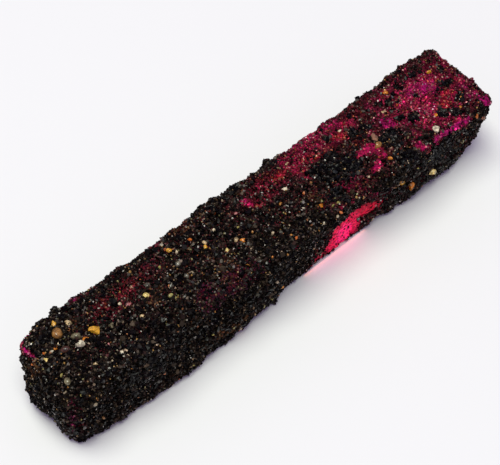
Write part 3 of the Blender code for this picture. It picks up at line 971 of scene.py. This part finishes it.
# Where iron has stained the sand brown: the middle line of each place and its reach
RUSTY_PLACES = (
    (((-15.3, 7.9, 18.1), (-10.3, 7.8, 18.6)), 1.5),
    (((-14.6, -5.6, 18.2), (-13.2, -4.2, 18.3)), 2.2),
    (((-0.8, 7, 18.1),), 1.4),
    (((-53.3, 3, 17.2), (-53.8, 3.4, 15)), 1.6),
    (((-43.5, 3.5, 18.6), (-42.3, 4.6, 18.5)), 1.3),
    (((10, -3.4, 18.2), (10, -5.6, 18.2)), 1.4),
    (((-26.5, 0.2, 18.3), (-29, -1.4, 18.4)), 1.5),
    (((49.5, 4.6, 17.9), (50, 3, 17.9)), 1.3),
    (((28, -4.5, 18.4), (31, -6.5, 18.3)), 1.3),
    (((-20, -9.5, 6), (-14, -9.5, 5)), 2),
    (((44, -9.5, 10), (48, -9.5, 8)), 1.8),
)
RUSTY_FADE = (0.4, 1.3)
RUSTY_SHARE = 0.75
RUSTY_SPREAD = 0.4
BLACK_COUNT = 54000
BLACK_WIDTHS = (0.26, 0.5)
BLACK_HEIGHTS = (-0.05, 1.0)
BLACK_SPREAD = 0.45
# the painted glow of the window, which is no lamp
PAINTED_GLOWING = 0.1  # the window is where the light is stronger than this
WINDOW_FOOT = 1.2 * MM  # some sand lies in the window up to this level
WINDOW_FOOT_SAND = 0.3
PROUD = 0.35  # how far the sand stands out, and how much less where it is stained
STAINED_LESS_PROUD = 0.3
STAINED_BETWEEN = (0.3, 0.8)
BACK_EDGE = 7.0 * MM
STAINED_TONES = (-0.3, 0.6)  # the middle and the spread
WIDE_CLUMPS = (1.1, 2.4 * MM, 7.7)  # the sand is lighter and darker in clumps
SMALL_CLUMPS = (1.3, 1.0 * MM, 1.3)
STAINED_CLUMPING = 0.6
BLACK_PIECES = ("black_sand_near", "black_sand_middle", "black_sand_far")
BLACK_PIECE_ENDS = (0.33, 0.67)  # the share of the grains that lies before each cut

black_sand = sand_material("black_sand", 0.4, 0.03)
window_base = WINDOW_FOOT_SAND * (skin_painted_glow > PAINTED_GLOWING) * (skin_points[:, 2] < WINDOW_FOOT)
open_skin = kept_off(skin_bare, 0.85) * kept_off(skin_clean, 0.8)
grains = scattered(BLACK_COUNT, np.maximum(open_skin, window_base))
places = grains.places
rusty = np.zeros(BLACK_COUNT)
for path, reach in RUSTY_PLACES:
    away = distance_to(path, places / MM) / reach
    rusty = np.maximum(rusty, 1.0 - step_between(*RUSTY_FADE, away))
widths = draws.uniform(*BLACK_WIDTHS, BLACK_COUNT) * MM
proud = PROUD - STAINED_LESS_PROUD * step_between(*STAINED_BETWEEN, grains.stain)
proud *= kept_off(places[:, 1] > BACK_EDGE, 0.6)
places += grains.normals * (widths * draws.uniform(*BLACK_HEIGHTS, BLACK_COUNT) * proud)[:, None]
colours = picked_colours(BLACK_COUNT, BLACK_SAND, BLACK_SPREAD)
browned = draws.random(BLACK_COUNT) < RUSTY_SHARE * rusty
colours[browned] = picked_colours(browned.sum(), RUSTY_SAND, RUSTY_SPREAD)
# painted shade: the sand on the sides is darker than on top
colours = painted_side_shade(colours, grains)
stained = draws.random(BLACK_COUNT) < grains.stain
tones = np.exp(draws.normal(*STAINED_TONES, BLACK_COUNT))
colours[stained] = (ruby_stain(grains) * tones[:, None])[stained]
clumps = np.exp(wander(places, *WIDE_CLUMPS) + wander(places, *SMALL_CLUMPS))
colours *= np.where(stained, clumps**STAINED_CLUMPING, clumps)[:, None]
thirds = np.digitize(places[:, 0], np.quantile(places[:, 0], BLACK_PIECE_ENDS))
for third, name in enumerate(BLACK_PIECES):
    mine = thirds == third
    grain_piece(name, places[mine], widths[mine], colours[mine], ("shard", "block"), black_sand)

COARSE_BLACK = (
    (0.5, (0.0015, 0.001, 0.001)),
    (0.25, (0.006, 0.0055, 0.005)),
    (0.15, (0.016, 0.009, 0.007)),
    (0.1, (0.034, 0.026, 0.018)),
)
COARSE_PLACES = BLACK_CLODS + (
    ((38, -9, 6), 12),
    ((-4, 8.5, 17.5), 6),
    ((-36, -7, 15), 9),
)
COARSE_FAR = 0.12  # how much coarse sand lies away from these places, on the far half
COARSE_NEAR = 0.16  # and how much more on the near half
COARSE_FOOT = (0.5 * MM, 2.5 * MM)  # there is less of it at the foot, below these levels
COARSE_AT_FOOT = 0.15
COARSE_END = 51.0 * MM
coarse = COARSE_FAR + COARSE_NEAR * (skin_points[:, 0] < 0.0)
for centre, reach in COARSE_PLACES:
    away = distance_to((centre,), skin_points / MM)
    coarse = np.maximum(coarse, 1.0 - step_between(0.5 * reach, reach, away))
coarse *= rising(COARSE_AT_FOOT, COARSE_FOOT, skin_points[:, 2])
coarse *= kept_off(skin_points[:, 0] > COARSE_END, 0.7)
glossy_black = sand_material("glossy_black_sand", 0.25, 0.11)
# the coarse sand takes the same painted shade on the sides
strewn_piece(
    "coarse_black_sand", weights=coarse * (1.0 - skin_bare) ** 2, count=4400, widths=(0.5, 0.95),
    height=(-0.05, 0.12), palette=COARSE_BLACK, spread=0.6, kinds=("block", "nugget"),
    material=glossy_black, recolour=painted_side_shade,
)

CLOD_CLOSENESS = 1.5  # the grains keep to the middle of a clod
CLOD_TINT = (0.75, 0.9, 1.15)
CLOD_BACK = 7.6 * MM
strewn_piece(
    "black_clods",
    weights=(skin_clod * (1.0 - skin_clean)) ** CLOD_CLOSENESS * (skin_points[:, 1] < CLOD_BACK),
    count=1600, widths=(0.3, 0.85), height=(-0.1, 0.35), palette=COARSE_BLACK, spread=0.6,
    kinds=("nugget", "block"), material=glossy_black, fineness=1.3,
    recolour=lambda colours, _: colours * CLOD_TINT,
)

# --------------------------------------
# The ruby grit: crumbs of the ruby itself and sand stained by it, which cling to the worn
# places. They are crimson to pink, and the lightest are salmon and orange.

RUBY_GRIT = (
    (0.4, (0.1, 0.006, 0.014)),
    (0.25, (0.26, 0.01, 0.036)),
    (0.14, (0.4, 0.018, 0.07)),
    (0.08, (0.4, 0.045, 0.05)),
    (0.03, (0.46, 0.15, 0.12)),
    (0.03, (0.6, 0.34, 0.3)),
    (0.02, (0.42, 0.075, 0.03)),
)
GRIT_ON_STAIN = 0.08  # how much of it lies on stained sand, beside bare stone
GRIT_TONE = (0.22, 0.88)  # how bright it is where no stone is bare, and what bare stone adds
GRIT_BLUE = (0.6, 1.2)  # how blue it is at crimson places, and what magenta adds


def grit_tone(colours, grains):
    """Dims the grit away from the bare stone, and turns it bluer where that is magenta."""
    colours = colours * (GRIT_TONE[0] + GRIT_TONE[1] * grains.bare)[:, None]
    colours[:, 2] *= GRIT_BLUE[0] + GRIT_BLUE[1] * grains.magenta
    return colours


gritty = (skin_bare + GRIT_ON_STAIN * skin_stain) * kept_off(skin_clean, 0.8)
strewn_piece(
    "ruby_grit", weights=gritty * (skin_painted_glow < PAINTED_GLOWING), count=7500, widths=(0.22, 0.44),
    height=0.2, palette=RUBY_GRIT, spread=0.35, kinds=("shard", "block"),
    material=sand_material("ruby_grit", 0.42, 0.08), recolour=grit_tone,
)

# --------------------------------------
# The brown and pale sand: iron-stained, horn-coloured and clear quartz grains scattered
# in the crust. Most are as fine as the black sand, and a few are two or three times as wide.

PALE_SAND = (
    (0.3, (0.1, 0.09, 0.075)),
    (0.18, (0.22, 0.2, 0.16)),
    (0.11, (0.6, 0.56, 0.48)),
    (0.17, (0.15, 0.085, 0.035)),
    (0.1, (0.34, 0.19, 0.05)),
    (0.09, (0.26, 0.1, 0.035)),
    (0.07, (0.2, 0.18, 0.07)),
)
PALE_ON_SIDES = 0.4  # how much of it lies on the sides, beside the top
PALE_BETWEEN = (0.3, 0.8)
PALE_NEAR = 10.0 * MM
ROSY_TINT = (1.0, 0.42, 0.46)
ROSY_BARE = 1.3  # the chance that a grain is rosy on bare stone
ROSY_STAINED = 1.1  # and on stained sand


def rosy_by_chance(colours, grains):
    """Turns many of the grains that lie on bare stone or stained sand rosy."""
    chance = np.maximum(ROSY_BARE * grains.bare, ROSY_STAINED * grains.stain)
    rosy = (draws.random(len(colours)) < chance)[:, None]
    return np.where(rosy, colours * ROSY_TINT, colours)


pale_sand = sand_material("pale_sand", 0.28, 0.5)
top_share = rising(PALE_ON_SIDES, PALE_BETWEEN, skin_normals[:, 2])
top_share *= kept_off(skin_points[:, 0] < PALE_NEAR, 0.25)
strewn_piece(
    "pale_sand", weights=top_share * kept_off(skin_clean, 0.9), count=4300, widths=(0.2, 0.4),
    height=0.25, palette=PALE_SAND, spread=0.35, kinds=("block", "nugget"), material=pale_sand,
    recolour=rosy_by_chance,
)

HONEY_SAND = (
    (0.07, (0.46, 0.19, 0.03)),
    (0.04, (0.46, 0.12, 0.02)),
    (0.07, (0.48, 0.38, 0.24)),
    (0.08, (0.34, 0.29, 0.08)),
    (0.08, (0.18, 0.165, 0.14)),
    (0.4, (0.028, 0.027, 0.022)),
    (0.26, (0.06, 0.052, 0.036)),
)
strewn_piece(
    "honey_sand", weights=kept_off(skin_clean, 0.8) * kept_off(skin_stain, 0.7), count=700,
    widths=(0.45, 0.75), height=0.12, palette=HONEY_SAND, spread=0.25, kinds=("nugget",),
    material=pale_sand,
)

# --------------------------------------
# The floor: a plain pale matt sheet that the stone lies on. It reaches far past the stone
# on every side.

FLOOR_HALF_SIDE = 1.5
FLOOR_LEVEL = -0.02 * MM
FLOOR_COLOUR = (0.86, 0.86, 0.86, 1.0)
sheet = bmesh.new()
bmesh.ops.create_grid(sheet, x_segments=1, y_segments=1, size=FLOOR_HALF_SIDE)
bmesh.ops.translate(sheet, verts=sheet.verts[:], vec=(0.0, 0.0, FLOOR_LEVEL))
floor_mesh = bpy.data.meshes.new("floor")
sheet.to_mesh(floor_mesh)
sheet.free()
floor_material, _, finish_floor = new_material("pale_floor")
finish_floor({"Base Color": FLOOR_COLOUR, "Roughness": 0.7, "Specular IOR Level": 0.0})
floor_mesh.materials.append(floor_material)
floor = new_object("floor", floor_mesh)

# --------------------------------------
# The light: one wide soft lamp high over the stone in a pale room, and the pink light
# that has come through the stone and falls from its window on the floor.

ROOM_COLOUR = (1.12, 0.87, 1.54, 1.0)
ROOM_STRENGTH = 0.24
world = bpy.data.worlds.new("pale_room")
world.use_nodes = True
room = world.node_tree.nodes["Background"].inputs
room["Color"].default_value = ROOM_COLOUR
room["Strength"].default_value = ROOM_STRENGTH
bpy.context.scene.world = world


def area_lamp(name, shape, place, towards, energy, size, colour):
    """A flat lamp of the given length and width that shines one way."""
    lamp_data = bpy.data.lights.new(name, "AREA")
    lamp_data.shape = shape
    lamp_data.energy = energy
    lamp_data.size, lamp_data.size_y = size
    lamp_data.color = colour
    lamp = new_object(name, lamp_data)
    lamp.location = place
    lamp.rotation_mode = "QUATERNION"
    lamp.rotation_quaternion = Vector((0.0, 0.0, -1.0)).rotation_difference(towards)
    return lamp


LAMP_DISTANCE = 0.9
LAMP_SIDE = Vector((-0.1, 0.0, 1.0)).normalized()
area_lamp(
    "soft_lamp", "ELLIPSE", LAMP_SIDE * LAMP_DISTANCE, -LAMP_SIDE,
    energy=7.95, size=(0.4, 0.76), colour=(0.94, 0.995, 0.85),
)

# The name, place, height, strength and colour of the light that leaves the window: most of
# it is pink, and close to the floor there is a line of orange
WINDOW_LIGHTS = (
    ("window_light", Vector((12.5, -8.0, 1.4)) * MM, 2.4 * MM, 0.000105, (1.0, 0.36, 0.75)),
    ("window_edge_light", Vector((12.5, -8.0, 0.4)) * MM, 0.6 * MM, 0.00004, (1.0, 0.32, 0.06)),
)
WINDOW_LIGHT_WIDTH = 17.0 * MM
OUT_OF_WINDOW = Vector((0.0, -1.0, -0.15))
for name, place, height, energy, colour in WINDOW_LIGHTS:
    size = (WINDOW_LIGHT_WIDTH, height)
    window_light = area_lamp(name, "RECTANGLE", place, OUT_OF_WINDOW, energy, size, colour)
    window_light.visible_camera = False

# --------------------------------------
# The camera: a long lens that looks down on the bar from its near front corner, from a
# distance of nearly three times the bar's length.

CAMERA_AZIMUTH = math.radians(-41.12)
CAMERA_HEIGHT = math.radians(57.77)
CAMERA_DISTANCE = 303.3 * MM
CAMERA_AIM = Vector((2.5, 7.0, 0.0)) * MM
CAMERA_LENS = 105.1  # millimetres, as is the width of the sensor
CAMERA_SENSOR = 36.0
CAMERA_NEAREST = 0.01
CAMERA_BACK = Vector((
    math.sin(CAMERA_AZIMUTH) * math.cos(CAMERA_HEIGHT),
    -math.cos(CAMERA_AZIMUTH) * math.cos(CAMERA_HEIGHT),
    math.sin(CAMERA_HEIGHT),
))
camera_data = bpy.data.cameras.new("camera")
camera_data.lens = CAMERA_LENS
camera_data.sensor_width = CAMERA_SENSOR
camera_data.clip_start = CAMERA_NEAREST
camera = new_object("camera", camera_data)
camera.location = CAMERA_AIM + CAMERA_BACK * CAMERA_DISTANCE
camera.rotation_mode = "QUATERNION"
camera.rotation_quaternion = (-CAMERA_BACK).to_track_quat("-Z", "Y")
bpy.context.scene.camera = camera
bpy.context.scene.view_settings.view_transform = "Standard"
